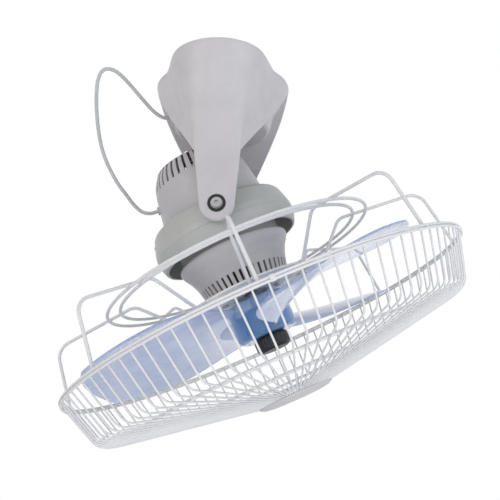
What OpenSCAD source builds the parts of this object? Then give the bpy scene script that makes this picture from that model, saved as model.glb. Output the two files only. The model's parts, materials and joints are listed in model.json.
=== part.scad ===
// Ceiling fan whose guarded head orbits on a two-axis gimbal.
// Origin: centre of the face that meets the ceiling; +Z up; the front yoke arm is at -Y.
// Rest pose: the head leans over the pivots on Y, its guard towards +X.

/* [Ceiling bell and yoke] */
// Depth of the gimbal centre below the ceiling
drop = 165; // [158:1:185]
// Radius of the bell at the ceiling
bell_r = 76; // [72:0.5:80]
// Wall of the bell
bell_wall = 3.5; // [2.5:0.5:5]
// Half width of a yoke arm at its pivot
arm_half_w = 18; // [17:0.5:21]
// Thickness of a yoke arm
arm_t = 6; // [5:0.5:8]
// How far the yoke arms flare outwards at the ceiling
arm_flare = 32.5; // [26:0.5:36]
// Lean of the head at rest, and its largest lean either way
tilt = 23.5; // [20:0.5:23.5]

/* [Orbit ring] */
// Largest outer radius of the orbit ring
ring_r = 80.5; // [79.5:0.5:82]
// Gap between the ring's pivot boss and the yoke arm
arm_gap = 0.8; // [0.5:0.1:1.5]
// Radius of the four pivot pins
pivot_r = 4; // [3.5:0.25:4.5]
// Running clearance of a pin or shaft in its bush
run_gap = 0.05; // [0.02:0.01:0.1]

/* [Motor head] */
// How far the rear housing stands inside the ring's outside
rear_gap = 20.5; // [20:0.5:22]
// Height of the rear housing's shoulder above the gimbal centre
rear_h = 85; // [83:0.5:85.5]
// Depth of the front housing's face below the gimbal centre
front_h = 81; // [79:0.5:83]
// Wall of the housings
case_wall = 2.5; // [2:0.25:3]
// Radius of the motor shaft
shaft_r = 5; // [4:0.25:6]

/* [Fan] */
// Depth of the guard's rim below the gimbal centre
rim_drop = 119; // [116:1:123]
// Radius of the blade tips
blade_r = 200; // [185:1:203]
// Rise of a blade from its leading to its trailing edge
blade_rise = 44; // [30:1:48]
// Thickness of a blade
blade_t = 2.4; // [1.6:0.2:3]
// Number of blades
blades = 3; // [3:1:5]

/* [Guard] */
// Outer radius of the guard
rim_r = 230; // [225:1:240]
// Height of the rear guard above the rim
rear_guard_h = 76; // [72:1:78]
// Number of wires in the rear guard
rear_arms = 8; // [6:1:9]
// Depth of the front guard's corner below the rim
corner_h = 51; // [46:1:56]
// Depth of the front guard's centre below the rim
front_guard_h = 79; // [74:1:84]
// Number of wires in the front guard
spokes = 96; // [72:4:104]
// Radius of each of the two rim wires
rim_w = 1.3; // [1.1:0.1:1.6]
// Radius of a thick guard wire
ring_w = 1.75; // [1.5:0.25:2]
// Radius of a front guard wire
spoke_w = 0.95; // [0.8:0.05:1.2]
// Radius of the guard badge
badge_r = 42; // [36:1:44]

/* [Orbit gears] */
// Module of all the gear teeth
gear_m = 1; // [0.9:0.05:1.05]
// Teeth of the worm wheel on the cross shaft
wheel_teeth = 30; // [28:2:32]
// Teeth of the second worm wheel
second_teeth = 24; // [22:2:26]
// Teeth of the pinion on the counter shaft
pinion_teeth = 12; // [10:1:14]
// Teeth of the output gear
output_teeth = 30; // [28:1:32]
// Play between meshing teeth
backlash = 0.35; // [0.2:0.05:0.45]
// Height of the crank ball above the gimbal centre
crank_h = 100; // [99.5:0.5:101]
// Radius of the crank ball
ball_r = 4.5; // [4:0.25:4.5]

/* [Cord] */
// Diameter of the cord
cord_d = 4; // [3:0.5:5]

/* [Hidden] */
$fn = 64;

white = [0.93, 0.93, 0.92];
steel = [0.72, 0.73, 0.75];
brass = [0.80, 0.66, 0.35];
nylon = [0.90, 0.88, 0.80];
black = [0.08, 0.08, 0.09];
blue = [0.25, 0.50, 0.85];

// ---- derived sizes -------------------------------------------------------------
plate_t = 2;                       // ceiling plate
plate_r = bell_r - bell_wall - 3;
bolt_r = 2.6;                      // ceiling screw holes
bolt_pcd = 90;
floor_z = -45;                     // top of the bell's floor
floor_t = 4;
bell_h = 52;                       // depth of the bell's underside
boss_x = 30;                       // the two screws that hold the yoke stand here
screw_seat_z = floor_z - 1;
cable_y = 26;                      // the mains cable comes in here
arm_in = ring_r + 5;               // inner face of a yoke arm at its pivot
arm_out = arm_in + arm_t;
washer_r = 9;
head_r = 5;                        // pivot screw's head
crank_e = crank_h * tan(tilt);     // crank throw, so the ball sits over the gimbal centre
ball_d = sqrt(crank_h * crank_h + crank_e * crank_e);
seat_z = ball_d - drop + ball_r + 0.3;   // underside of the fixed seat above the ball
rear_r = ring_r - rear_gap;        // rear housing where the ring surrounds it
bush_r = pivot_r + 2;
split_z = -12;                     // joint between the two halves of the ring
ring_wall = 5.2;
ring_screw_in = 3.4;               // the ring's screws stand this far inside its outer radius
cover_top = rear_h + 6;            // top of the gear cover
crank_z = cover_top + 0.3;         // underside of the crank
crank_t = 3.7;

rim_z = -rim_drop;
rim_step = rim_w + 0.15;           // the rim wires lie this far above and below the rim's middle
clip_t = 1.2;
ring_R = rim_r - rim_w - clip_t - 0.06;   // centre line of the rim wires
face_z = -front_h;
guard_plate_t = 2;
plate_top = face_z;
hub_top = rim_z + 28;
hub_h = 40;
hub_r = 33.5;
nut_h = 16;
nut_r = 19;

// ---- gear train ----------------------------------------------------------------
starts = 2;                        // both worms have two threads
worm1_r = 5.5;                     // pitch radii
worm2_r = 4.5;
wheel_r = gear_m * wheel_teeth / 2;
second_r = gear_m * second_teeth / 2;
pinion_r = gear_m * pinion_teeth / 2;
output_r = gear_m * output_teeth / 2;
train_z = 31;                      // height of the cross shaft
cross_y = worm1_r + wheel_r;
counter_y = cross_y - worm2_r - second_r;
counter_d = pinion_r + output_r;
counter_x = -sqrt(counter_d * counter_d - counter_y * counter_y);
output_z = 52;                     // underside of the output gear
gear_w = 6;

// ---- helpers -------------------------------------------------------------------
// Puts a piece into the head's own frame: origin at the gimbal centre, z along the shaft.
module head() translate([0, 0, -drop]) rotate([0, -tilt, 0]) children();

module ring_of(n, start = 0) for (i = [0:n - 1]) rotate([0, 0, start + i * 360 / n]) children();

module along_x(x0, x1, r) translate([x0, 0, 0]) rotate([0, 90, 0]) cylinder(r = r, h = x1 - x0);

module along_y(y0, y1, r) translate([0, y1, 0]) rotate([90, 0, 0]) cylinder(r = r, h = y1 - y0);

module tube(r_out, r_in, z0, z1) translate([0, 0, z0]) difference() {
    cylinder(r = r_out, h = z1 - z0);
    translate([0, 0, -1]) cylinder(r = r_in, h = z1 - z0 + 2);
}

module pan_screw(r, length, r_cap = 0) {
    cap = r_cap > 0 ? r_cap : r * 1.9;
    translate([0, 0, -length]) cylinder(r = r, h = length);
    difference() {
        cylinder(r = cap, h = r);
        translate([0, 0, r * 0.4]) for (a = [0, 90]) rotate([0, 0, a])
            translate([-cap * 0.6, -r * 0.18, 0]) cube([cap * 1.2, r * 0.36, r]);
    }
}

module turned(points) rotate_extrude($fn = 96) polygon(points);

function unit(v) = v / norm(v);
function arc_points(c, r, a0, a1, n = 5) =
    [for (i = [0:n]) c + r * [cos(a0 + (a1 - a0) * i / n), sin(a0 + (a1 - a0) * i / n)]];

bend_lap = 0.25;                   // a straight run reaches this far into a bend
bend_swell = 1.015;                // a bent wire is a little thicker than a straight one
// A wire bent in the XZ plane through points [radius, height], each corner with its own radius.
module bent_wire(points, radii, w) {
    last = len(points) - 1;
    trim = [for (i = [0:last]) i == 0 || i == last ? 0 :
        radii[i] * tan(bend_angle(points, i) / 2)];
    for (i = [0:last - 1]) {
        d = unit(points[i + 1] - points[i]);
        from = points[i] + d * (trim[i] - (i == 0 ? 0 : bend_lap));
        to = points[i + 1] - d * (trim[i + 1] - (i == last - 1 ? 0 : bend_lap));
        rotate([90, 0, 0]) translate(from) rotate([0, 0, atan2(d.y, d.x)]) rotate([0, 90, 0])
            cylinder(r = w, h = norm(to - from), $fn = 24);
    }
    for (i = [1:last - 1]) {
        d = unit(points[i] - points[i - 1]);
        side = turn_side(points, i);
        normal = side * [-d.y, d.x];
        centre = points[i] - d * trim[i] + normal * radii[i];
        from_a = atan2(-normal.y, -normal.x);
        bend = bend_angle(points, i);
        rotate([90, 0, 0]) translate(centre) rotate([0, 0, side > 0 ? from_a : from_a - bend])
            rotate_extrude(angle = bend, $fn = 48) translate([radii[i], 0])
                circle(r = w * bend_swell, $fn = 24);
    }
}
function turn_side(p, i) =
    let (a = p[i] - p[i - 1], b = p[i + 1] - p[i]) a.x * b.y - a.y * b.x > 0 ? 1 : -1;
function bend_angle(p, i) =
    let (a = unit(p[i] - p[i - 1]), b = unit(p[i + 1] - p[i])) acos(min(1, a * b));

module wire_ring(r, z, w) translate([0, 0, z]) rotate_extrude($fn = 160)
    translate([r, 0]) circle(r = w, $fn = 24);

// ---- fixed to the ceiling ------------------------------------------------------
module ceiling_plate() color(steel) difference() {
    union() {
        translate([0, 0, -plate_t]) cylinder(r = plate_r, h = plate_t);
        for (s = [-1, 1]) translate([s * boss_x, 0, -8]) cylinder(r = 5, h = 7);
    }
    translate([0, cable_y, -plate_t - 1]) cylinder(r = 8, h = plate_t + 2);
    ring_of(4, 45) translate([bolt_pcd / 2, 0, -plate_t - 1]) cylinder(r = bolt_r, h = plate_t + 2);
    for (s = [-1, 1]) translate([s * boss_x, 0, -9]) cylinder(r = 1.6, h = 7.5);
}

// Corners of the bell's outline, from the ceiling down to its underside.
function bell_outside() = [[bell_r, 0], [bell_r - 6, -11], [bell_r - 12, -22], [bell_r - 18.5, -33],
    [bell_r - 21.5, -46], [bell_r - 23, -bell_h + 2], [bell_r - 26, -bell_h]];
module bell_shell() turned(concat([[0, 0]], bell_outside(), [[0, -bell_h]]));
module bell_hollow() {
    in_r = bell_r - bell_wall;
    turned([[0, 1], [in_r + 0.5, 1], [in_r - 6, -11], [in_r - 12.2, -22], [in_r - 18.5, -33],
        [in_r - 21, floor_z], [0, floor_z]]);
    translate([0, 0, -bell_h - 1]) cylinder(r = seat_recess_r, h = bell_h + 1 + floor_z - floor_t);
}
seat_recess_r = 22;                // shallow recess round the seat of the crank's ball

// An arm is a leaf-shaped shell: narrow at the pivot, spreading into a half-round foot on the ceiling.
arm_foot_r = 50;
arm_mid_z = -110;
arm_mid_w = 23.5;
arm_skin = 5.5;
arm_foot_y = arm_out + arm_flare - arm_foot_r;
module arm_mid() for (s = [-1, 1], y = [arm_out + 2 - 1.5, arm_out + 2 - arm_t + 1.5])
    translate([s * (arm_mid_w - 1.5), y, arm_mid_z]) sphere(r = 1.5, $fn = 20);
module yoke_arm() {
    hull() {
        translate([0, 0, -drop]) {
            along_y(arm_in + 1.2, arm_out - 1.2, arm_half_w, $fn = 48);
            along_y(arm_in, arm_out, arm_half_w - 1.2, $fn = 48);
        }
        arm_mid();
    }
    hull() {
        arm_mid();
        translate([0, arm_foot_y, -3]) cylinder(r = arm_foot_r, h = 3, $fn = 64);
    }
}
// Hollow of an arm, open towards the other arm and to the ceiling.
module yoke_arm_hollow() hull() {
    translate([0, 0, -90]) along_y(60, arm_out + 2 - arm_skin, arm_mid_w - 2.5, $fn = 48);
    translate([0, arm_foot_y, -1]) cylinder(r = arm_foot_r - arm_skin, h = 2, $fn = 64);
    translate([-arm_foot_r + arm_skin, 5, -1]) cube([2 * (arm_foot_r - arm_skin), 20, 2]);
}

module yoke() color(white) difference() {
    union() {
        difference() {
            union() {
                difference() {
                    union() {
                        yoke_arm();
                        mirror([0, 1, 0]) yoke_arm();
                    }
                    yoke_arm_hollow();
                    mirror([0, 1, 0]) yoke_arm_hollow();
                }
                bell_shell();
            }
            bell_hollow();
        }
        for (s = [-1, 1]) translate([s * boss_x, 0, floor_z - 1]) cylinder(r = 5, h = -7 - floor_z);
    }
    translate([0, 0, -drop]) along_y(-arm_out - 1, arm_out + 1, pivot_r + run_gap);
    translate([0, 0, -drop]) for (s = [-1, 1]) along_y(s > 0 ? arm_out - 1 : -arm_out - 3,
        s > 0 ? arm_out + 3 : -arm_out + 1, washer_r + 0.3);
    for (s = [-1, 1]) translate([s * boss_x, 0, 0]) {
        translate([0, 0, -bell_h]) cylinder(r = 2, h = bell_h);
        translate([0, 0, -bell_h - 1]) cylinder(r = 4, h = bell_h + 1 + screw_seat_z);
    }
    translate([0, 0, floor_z - floor_t - 1]) cylinder(r = 3, h = floor_t + 2);
    gland_place() gland_seat();
}

module yoke_screws() color(steel) for (s = [-1, 1])
    translate([s * boss_x, 0, screw_seat_z]) mirror([0, 0, 1]) pan_screw(1.6, -screw_seat_z - 3, 3.2);

// Seat that holds the crank's ball over the gimbal centre.
module crank_socket() color(nylon) {
    translate([0, 0, seat_z]) cylinder(r1 = 8, r2 = 9, h = floor_z - floor_t - seat_z);
    translate([0, 0, floor_z - floor_t]) cylinder(r = 2.9, h = floor_t + 4);
    translate([0, 0, floor_z]) cylinder(r = 6, h = 3);
}

module terminal_block() color(nylon) translate([-14, 22, floor_z]) difference() {
    cube([28, 12, 14]);
    for (i = [0:2]) translate([5 + 9 * i, 6, 6]) {
        cylinder(r = 2, h = 10);
        translate([0, 0, -2]) rotate([90, 0, 0]) cylinder(r = 1.6, h = 14, center = true);
    }
}

// Where the supply cord leaves the bell, low on its left side; the outlet's axis stands on the surface.
gland_a = 158;
gland_z = -41;
gland_at = [bell_r - 20.35, 0, gland_z];
gland_r = 4.8;                     // collar of a cord outlet
gland_sink = 0.5;                  // the collar sits this far into the wall
gland_h = 2;                       // and stands this far out of it
module gland_place() rotate([0, 0, -gland_a]) translate(gland_at) rotate([0, 103, 0]) children();
module gland_seat() {
    cylinder(r = 3.5, h = 24, center = true);
    translate([0, 0, -gland_sink]) cylinder(r = gland_r + 0.1, h = 8);
}
module cord_grommet(bore) rotate_extrude() polygon([[bore, -5], [3.45, -5], [3.45, -gland_sink],
    [gland_r, -gland_sink], [gland_r, gland_h - 0.9], [gland_r - 0.9, gland_h], [bore, gland_h]]);
module canopy_gland() color(white) gland_place() cord_grommet(cord_d / 2 + 0.02);

module pivot_screws() color(steel) translate([0, 0, -drop]) for (s = [0, 1]) mirror([0, s, 0]) difference() {
    union() {
        along_y(-arm_out - 0.2, -ring_r + ring_wall + 1, pivot_r);
        along_y(-arm_out - 3.2, -arm_out - 0.2, head_r);
        along_y(-arm_out - 0.9, -arm_out - 0.2, head_r + 1);
    }
    translate([0, -arm_out - 1.4, 0]) rotate([90, 0, 0]) cylinder(r = 2.6, h = 3, $fn = 6);
}

module pivot_washers() color(black) translate([0, 0, -drop]) for (s = [0, 1]) mirror([0, s, 0])
    difference() {
        along_y(-arm_out - 0.2, -arm_out + 1, washer_r);
        along_y(-arm_out - 3, -arm_out + 3, pivot_r + run_gap);
    }

// ---- supply cord ---------------------------------------------------------------
upper_route = [[-53.4, -21.6, -41.5], [-63.8, -25.8, -44.1], [-74, -32, -40], [-84, -41, -31.5],
    [-94, -52, -22], [-103, -63, -14.5], [-111, -72, -10], [-119, -78, -10], [-125, -79, -14],
    [-129, -76, -22], [-131, -71, -32], [-132, -65, -44], [-132, -58, -58], [-131, -51, -72],
    [-129, -44, -85], [-125, -37, -98], [-120, -30, -109], [-113, -22, -121], [-105, -15, -131]];
lower_route = [[-105, -15, -131], [-97.8, -8.7, -140], [-89.3, -5.2, -147], [-80.4, -4, -148.9],
    [-71.4, -4, -146.6]];

function along(p, t) = let (n = len(p) - 1, i = min(n - 1, floor(t)), f = t - i,
    a = p[max(0, i - 1)], b = p[i], c = p[i + 1], d = p[min(n, i + 2)])
    0.5 * (2 * b + f * (c - a) + f * f * (2 * a - 5 * b + 4 * c - d)
        + f * f * f * (3 * b - a - 3 * c + d));
module cord_tube(route, steps) {
    sides = 8;
    n = len(route) - 1;
    line = [for (i = [0:steps]) along(route, n * i / steps)];
    tangent = [for (i = [0:steps]) i == 0 ? unit(route[1] - route[0])
        : i == steps ? unit(route[n] - route[n - 1]) : unit(line[i + 1] - line[i - 1])];
    polyhedron(points = concat([for (i = [0:steps], k = [0:sides - 1])
            let (t = tangent[i], u = unit(cross(t, [0.2, 0.9, 0.1])), v = cross(t, u), a = k * 360 / sides)
            line[i] + cord_d / 2 * (u * cos(a) + v * sin(a))], [line[0], line[steps]]),
        faces = concat([for (i = [0:steps - 1], k = [0:sides - 1], h = [0, 1])
                let (k2 = (k + 1) % sides, p = i * sides, q = p + sides)
                h == 0 ? [p + k, q + k, q + k2] : [p + k, q + k2, p + k2]],
            [for (k = [0:sides - 1]) [(steps + 1) * sides, k, (k + 1) % sides]],
            [for (k = [0:sides - 1])
                [(steps + 1) * sides + 1, steps * sides + (k + 1) % sides, steps * sides + k]]));
}
module cord_upper() color(white) cord_tube(upper_route, 27);
module cord_lower() color(white) cord_tube(lower_route, 5);

// ---- orbit ring ----------------------------------------------------------------
// Outside of the ring, from its top lip down to its lower lip.
function ring_outside() = [[ring_r - 9.5, 14.5], [ring_r - 7.5, 14], [ring_r - 5.4, 11.5],
    [ring_r - 3.6, 6], [ring_r - 1.6, -1], [ring_r - 0.3, -6], [ring_r, -9.5], [ring_r, -12]];
module ring_upper() color(white) head() difference() {
    union() {
        turned(concat(ring_outside(), [[ring_r - ring_wall, split_z], [ring_r - ring_wall - 0.5, -2],
            [ring_r - ring_wall - 2, 7], [ring_r - 11.2, 14.5]]));
        for (s = [0, 1]) mirror([0, s, 0]) along_y(-arm_in + arm_gap, -ring_r + 3, 11);
        for (s = [0, 1]) mirror([s, 0, 0]) along_x(ring_r - 15, ring_r - 3, 9);
    }
    for (s = [0, 1]) mirror([0, s, 0]) along_y(-arm_in, -ring_r + ring_wall + 3, bush_r);
    for (s = [0, 1]) mirror([s, 0, 0]) along_x(ring_r - 16, ring_r - 4.5, bush_r);
    ring_of(4, 45) translate([ring_r - ring_screw_in, 0, split_z - 1]) cylinder(r = 1.1, h = 8);
}
module ring_lower() color(white) head() difference() {
    turned([[ring_r, split_z], [ring_r - 0.4, -15.5], [ring_r - 1.5, -20], [ring_r - 3.4, -25],
        [ring_r - 4.6, -27], [ring_r - 7, -27], [ring_r - 6.6, -24], [ring_r - 5.8, -19],
        [ring_r - ring_wall, split_z]]);
    ring_of(4, 45) translate([ring_r - ring_screw_in, 0, -40]) cylinder(r = 1.1, h = 30);
    ring_of(4, 45) translate([ring_r - ring_screw_in, 0, -40]) cylinder(r = 2.7, h = 19);
}
module ring_screws() color(steel) head() ring_of(4, 45) translate([ring_r - ring_screw_in, 0, -21])
    mirror([0, 0, 1]) pan_screw(1.1, 14, 2.4);
module ring_bushes() color(brass) head() {
    for (s = [0, 1]) mirror([0, s, 0]) difference() {
        along_y(-arm_in + arm_gap, -ring_r + ring_wall + 0.5, bush_r);
        along_y(-arm_in - 1, -ring_r + ring_wall + 3, pivot_r + run_gap);
    }
    for (s = [0, 1]) mirror([s, 0, 0]) difference() {
        along_x(ring_r - 15, ring_r - 4.5, bush_r);
        along_x(ring_r - 16, ring_r - 3, pivot_r + run_gap);
    }
}

// ---- motor head ----------------------------------------------------------------
module vent_slots(n, z0, z1, r0, r1, w) ring_of(n, 180 / n) translate([r0, -w / 2, z0])
    cube([r1 - r0, w, z1 - z0]);

front_body_r = rear_r - 3.5;
seam_z = -12;                      // joint between the front and the rear housing
seam_t = 3;
module front_housing() color(white) head() difference() {
    turned([[8, face_z], [42, face_z], [45, face_z + 2], [47.3, face_z + 8], [49.8, face_z + 18],
        [52.4, face_z + 27], [56, face_z + 35], [rear_r + 0.6, face_z + 42], [rear_r + 2.6, face_z + 46],
        [rear_r + 2.6, face_z + 48.5], [rear_r + 0.6, face_z + 51], [front_body_r, face_z + 52], [front_body_r, seam_z],
        [front_body_r - case_wall, seam_z], [front_body_r - case_wall, face_z + 50],
        [rear_r - 0.6, face_z + 47.5], [rear_r - 2.2, face_z + 43], [53.2, face_z + 35.4], [49.8, face_z + 27],
        [47.2, face_z + 21], [44.6, face_z + 8], [42.5, face_z + case_wall], [16, face_z + case_wall],
        [16, face_z + 12], [13, face_z + 12], [13, face_z + 4], [8, face_z + 4]]);
    vent_slots(44, face_z + 4.5, face_z + 19, 40, 56, 2.6);
    ring_of(4) translate([31, 0, face_z - 1]) cylinder(r = 1.8, h = 5);
}
module rear_housing() color(white) head() difference() {
    union() {
        turned([[rear_r, seam_z], [rear_r, 19], [rear_r - 1.6, 30], [rear_r - 3.6, 44], [rear_r - 5.6, 57],
            [rear_r - 8, 67], [rear_r - 11, 73.5], [rear_r - 16, rear_h - 3.5], [rear_r - 23, rear_h - 0.5],
            [31, rear_h], [spigot_r + 0.1, rear_h], [spigot_r + 0.1, rear_h - case_wall],
            [rear_r - 23.5, rear_h - 3], [rear_r - 17.4, rear_h - 5.6], [rear_r - 13, 71],
            [rear_r - 10.4, 65.5], [rear_r - 8, 56], [rear_r - 6, 43], [rear_r - 4.1, 29.5],
            [front_body_r, 19], [front_body_r, seam_z + seam_t],
            [front_body_r - case_wall, seam_z + seam_t], [front_body_r - case_wall, seam_z]]);
        for (s = [0, 1]) mirror([s, 0, 0]) along_x(front_body_r - 1, rear_r + 3.5, 8);
    }
    for (s = [0, 1]) mirror([s, 0, 0]) along_x(front_body_r - 3, rear_r + 5, pivot_r);
    vent_slots(40, 60, rear_h - 3.4, 36, 58, 2.8);
    head_gland_place() gland_seat();
    ring_of(3) translate([cover_screw_r, 0, rear_h - 9]) cylinder(r = 1.3, h = 12);
}
spigot_r = 20.9;                   // the gear cover drops into the rear housing with this
cover_screw_r = 25;
sleeve_r = 6.9;
module gear_cover() color(white) head() difference() {
    turned([[sleeve_r + 0.1, rear_h - case_wall], [10, rear_h - case_wall], [10, cover_top - 2.5],
        [16, cover_top - 2.5], [18, rear_h + 1], [18.4, rear_h - case_wall], [spigot_r, rear_h - case_wall],
        [spigot_r, rear_h], [29.5, rear_h], [29.5, rear_h + 1.2], [28.9, rear_h + 1.8],
        [21.5, rear_h + 1.8], [20.3, rear_h + 2.4], [18.8, cover_top - 1.4], [17, cover_top],
        [sleeve_r + 0.1, cover_top]]);
    ring_of(3) translate([cover_screw_r, 0, rear_h - 10]) cylinder(r = 1.3, h = 20);
}
module cover_screws() color(steel) head() ring_of(3) translate([cover_screw_r, 0, rear_h + 1.8])
    pan_screw(1.3, 7);

head_gland_z = 45;
module head_gland_place() translate([-rear_r + 3.9, -4, head_gland_z]) rotate([0, -81, 0]) children();
module head_gland() color(white) head() head_gland_place() cord_grommet(cord_d / 2 + 0.02);

module head_pins() color(steel) head() for (s = [0, 1]) mirror([s, 0, 0])
    along_x(front_body_r + 0.1, ring_r - 6, pivot_r);

stator_z = -32;
stator_h = 24;
module stator_core() color(steel) head() difference() {
    tube(front_body_r - case_wall - 0.05, 25, stator_z, stator_z + stator_h);
    ring_of(12) translate([28, -2.2, stator_z - 1]) cube([16, 4.4, stator_h + 2]);
}
module stator_winding() color([0.72, 0.42, 0.22]) head() for (z = [stator_z - 5.5, stator_z + stator_h + 5.5])
    translate([0, 0, z]) rotate_extrude() translate([35, 0]) {
        square([10, 11], center = true);
    }
module ball_race(z0, h, r_in, r_out) difference() {
    tube(r_out, r_in, z0, z0 + h);
    tube(r_out - 2, r_in + 2, z0 - 1, z0 + 0.6);
    tube(r_out - 2, r_in + 2, z0 + h - 0.6, z0 + h + 1);
}
module front_bearing() color(steel) head() ball_race(face_z + 4, 8, shaft_r + run_gap, 13);
module rear_bearing() color(steel) head() ball_race(5, 7, shaft_r + run_gap, 13);

bridge_posts = [20, 110, 250];
module shaft_post(x, y, h_top) translate([x - 3, y - 6, 14]) cube([6, 12, h_top - 14]);
module gear_plate() color(steel) head() difference() {
    union() {
        tube(front_body_r - 0.05, 8, 12, 15);
        tube(16, 13, 5, 13);
        shaft_post(counter_x - 14, cross_y, train_z + 6);
        shaft_post(15, cross_y, train_z + 6);
        translate([counter_x, counter_y, 14]) cylinder(r = 6, h = 6);
        for (a = bridge_posts) rotate([0, 0, a]) translate([34, 0, 14]) cylinder(r = 3.5, h = 52);
    }
    translate([counter_x - 20, cross_y, train_z]) rotate([0, 90, 0]) cylinder(r = 3 + run_gap, h = 70);
    translate([counter_x, counter_y, 10]) cylinder(r = 3 + run_gap, h = 20);
}
module gear_bridge() color(steel) head() difference() {
    tube(38, 8, 66, 68.5);
    translate([counter_x, counter_y, 60]) cylinder(r = 3 + run_gap, h = 20);
}
module capacitor() color(white) head() translate([rear_r - 36, 24 - rear_r, 15])
    cube([10, 14, 26]);

// ---- rotor ---------------------------------------------------------------------
module rotor_core() color(steel) head() difference() {
    tube(24.4, shaft_r, stator_z, stator_z + stator_h);
    ring_of(18) translate([21, 0, stator_z - 1]) cylinder(r = 1.3, h = stator_h + 2);
}

// Thread of a worm along z: a cross-section with two lobes, twisted.
function lobe(p) = let (q = abs(p - 0.5) * 2) q < 0.24 ? 1 : q < 0.66 ? (0.66 - q) / 0.42 : 0;
module worm_thread(r, length, turns_sign) {
    sections = 20;
    lead = PI * gear_m * starts;
    turn = turns_sign * -360 * length / lead;
    rotate([0, 0, turn / 2]) linear_extrude(height = length, twist = turn,
        slices = ceil(9 * length / lead), center = true, $fn = sections)
        polygon([for (i = [0:sections - 1]) let (a = i * 360 / sections,
            p = (i * starts / sections) % 1,
            rr = r - 1.25 * gear_m + (2.15 * gear_m) * lobe(p)) rr * [cos(a), sin(a)]]);
}
module motor_shaft() color(steel) head() {
    tip = hub_top - hub_h - nut_h + 3;
    difference() {
        translate([0, 0, tip]) cylinder(r = shaft_r, h = train_z - 13 - tip);
        translate([0, 0, hub_top - hub_h + 18]) rotate([0, 90, 0]) cylinder(r = 1.5, h = 30, center = true);
    }
    translate([0, 0, train_z - 14]) cylinder(r = worm1_r - 1.3 * gear_m, h = 28);
    translate([0, 0, train_z]) worm_thread(worm1_r, 20, 1);
}

function blade_point(s, t, side) =
    let (r = hub_r - 1 + s * (blade_r - hub_r + 1),
         span = 62 + 26 * sin(150 * s) - 34 * pow(s, 6),
         a = -span * (t - 0.5) + 14 * s * s,
         rise = hub_h - 7 + (blade_rise - hub_h + 7) * sin(180 * s) - 10 * s,
         camber = (4 + 4 * sin(180 * s)) * (4 * t * (1 - t)),
         z = rise * (t - 0.5) + camber + side * blade_t / 2)
    [r * cos(a), r * sin(a), z];
module one_blade() {
    ns = 12;
    nt = 9;
    step = nt + 1;
    sheet = (ns + 1) * step;
    function at(k, i, j) = k * sheet + i * step + j;
    edge = concat([for (i = [0:ns - 1]) [i, 0, i + 1, 0]],
        [for (j = [0:nt - 1]) [ns, j, ns, j + 1]],
        [for (i = [0:ns - 1]) [ns - i, nt, ns - i - 1, nt]],
        [for (j = [0:nt - 1]) [0, nt - j, 0, nt - j - 1]]);
    polyhedron(points = [for (k = [0, 1], i = [0:ns], j = [0:nt]) blade_point(i / ns, j / nt, k * 2 - 1)],
        faces = concat(
            [for (i = [0:ns - 1], j = [0:nt - 1], h = [0, 1]) h == 0
                ? [at(0, i, j), at(0, i + 1, j), at(0, i + 1, j + 1)]
                : [at(0, i, j), at(0, i + 1, j + 1), at(0, i, j + 1)]],
            [for (i = [0:ns - 1], j = [0:nt - 1], h = [0, 1]) h == 0
                ? [at(1, i, j), at(1, i + 1, j + 1), at(1, i + 1, j)]
                : [at(1, i, j), at(1, i, j + 1), at(1, i + 1, j + 1)]],
            [for (e = edge, h = [0, 1]) h == 0
                ? [at(0, e[0], e[1]), at(1, e[0], e[1]), at(1, e[2], e[3])]
                : [at(0, e[0], e[1]), at(1, e[2], e[3]), at(0, e[2], e[3])]]));
}
module fan_hub() color(blue) head() {
    hub_low = hub_top - hub_h;
    difference() {
        turned([[shaft_r + 0.02, hub_low], [hub_r - 5, hub_low], [hub_r - 1.5, hub_low + 1.5],
            [hub_r, hub_low + 5], [hub_r, hub_top], [hub_r - 2.5, hub_top], [hub_r - 2.5, hub_low + 4],
            [10, hub_low + 3], [9, hub_low + 24], [shaft_r + 0.02, hub_low + 24]]);
        translate([-15.2, -1.6, hub_low + 16.4]) cube([30.4, 3.2, 20]);
    }
}
module fan_blades() color(blue) head()
    translate([0, 0, hub_top - hub_h / 2 - 1.5]) ring_of(blades, 180) one_blade();
module drive_pin() color(steel) head() translate([0, 0, hub_top - hub_h + 18]) along_x(-15, 15, 1.5);
module spinner_nut() color(black) head() translate([0, 0, hub_top - hub_h]) difference() {
    turned([[0, -nut_h], [nut_r - 4, -nut_h], [nut_r - 1, -nut_h + 2], [nut_r, -nut_h + 4], [nut_r, -3],
        [nut_r - 2, 0], [shaft_r + 0.02, 0], [shaft_r + 0.02, -nut_h + 2.6], [0, -nut_h + 2.6]]);
    ring_of(24) translate([nut_r + 0.9, 0, -nut_h - 1]) cylinder(r = 1.7, h = nut_h - 1);
}

// ---- orbit gears ---------------------------------------------------------------
function tooth_outline(n, m, slack) = [for (i = [0:n - 1], k = [0:3])
    let (pitch = 360 / n, rr = n * m / 2,
         tip = k == 1 || k == 2,
         r = tip ? rr + 0.85 * m : rr - 1.15 * m,
         w = (tip ? 0.36 * m : 1.12 * m) - slack / 2,
         a = i * pitch + (k < 2 ? -1 : 1) * (w / r * 180 / PI))
    r * [cos(a), sin(a)]];
module gear_teeth(n, m, w, slack) linear_extrude(height = w, center = true)
    polygon(tooth_outline(n, m, slack));
module helical_teeth(n, m, w, slack, turn) rotate([0, 0, turn / 2])
    linear_extrude(height = w, center = true, twist = turn, slices = 3) polygon(tooth_outline(n, m, slack));

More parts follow.
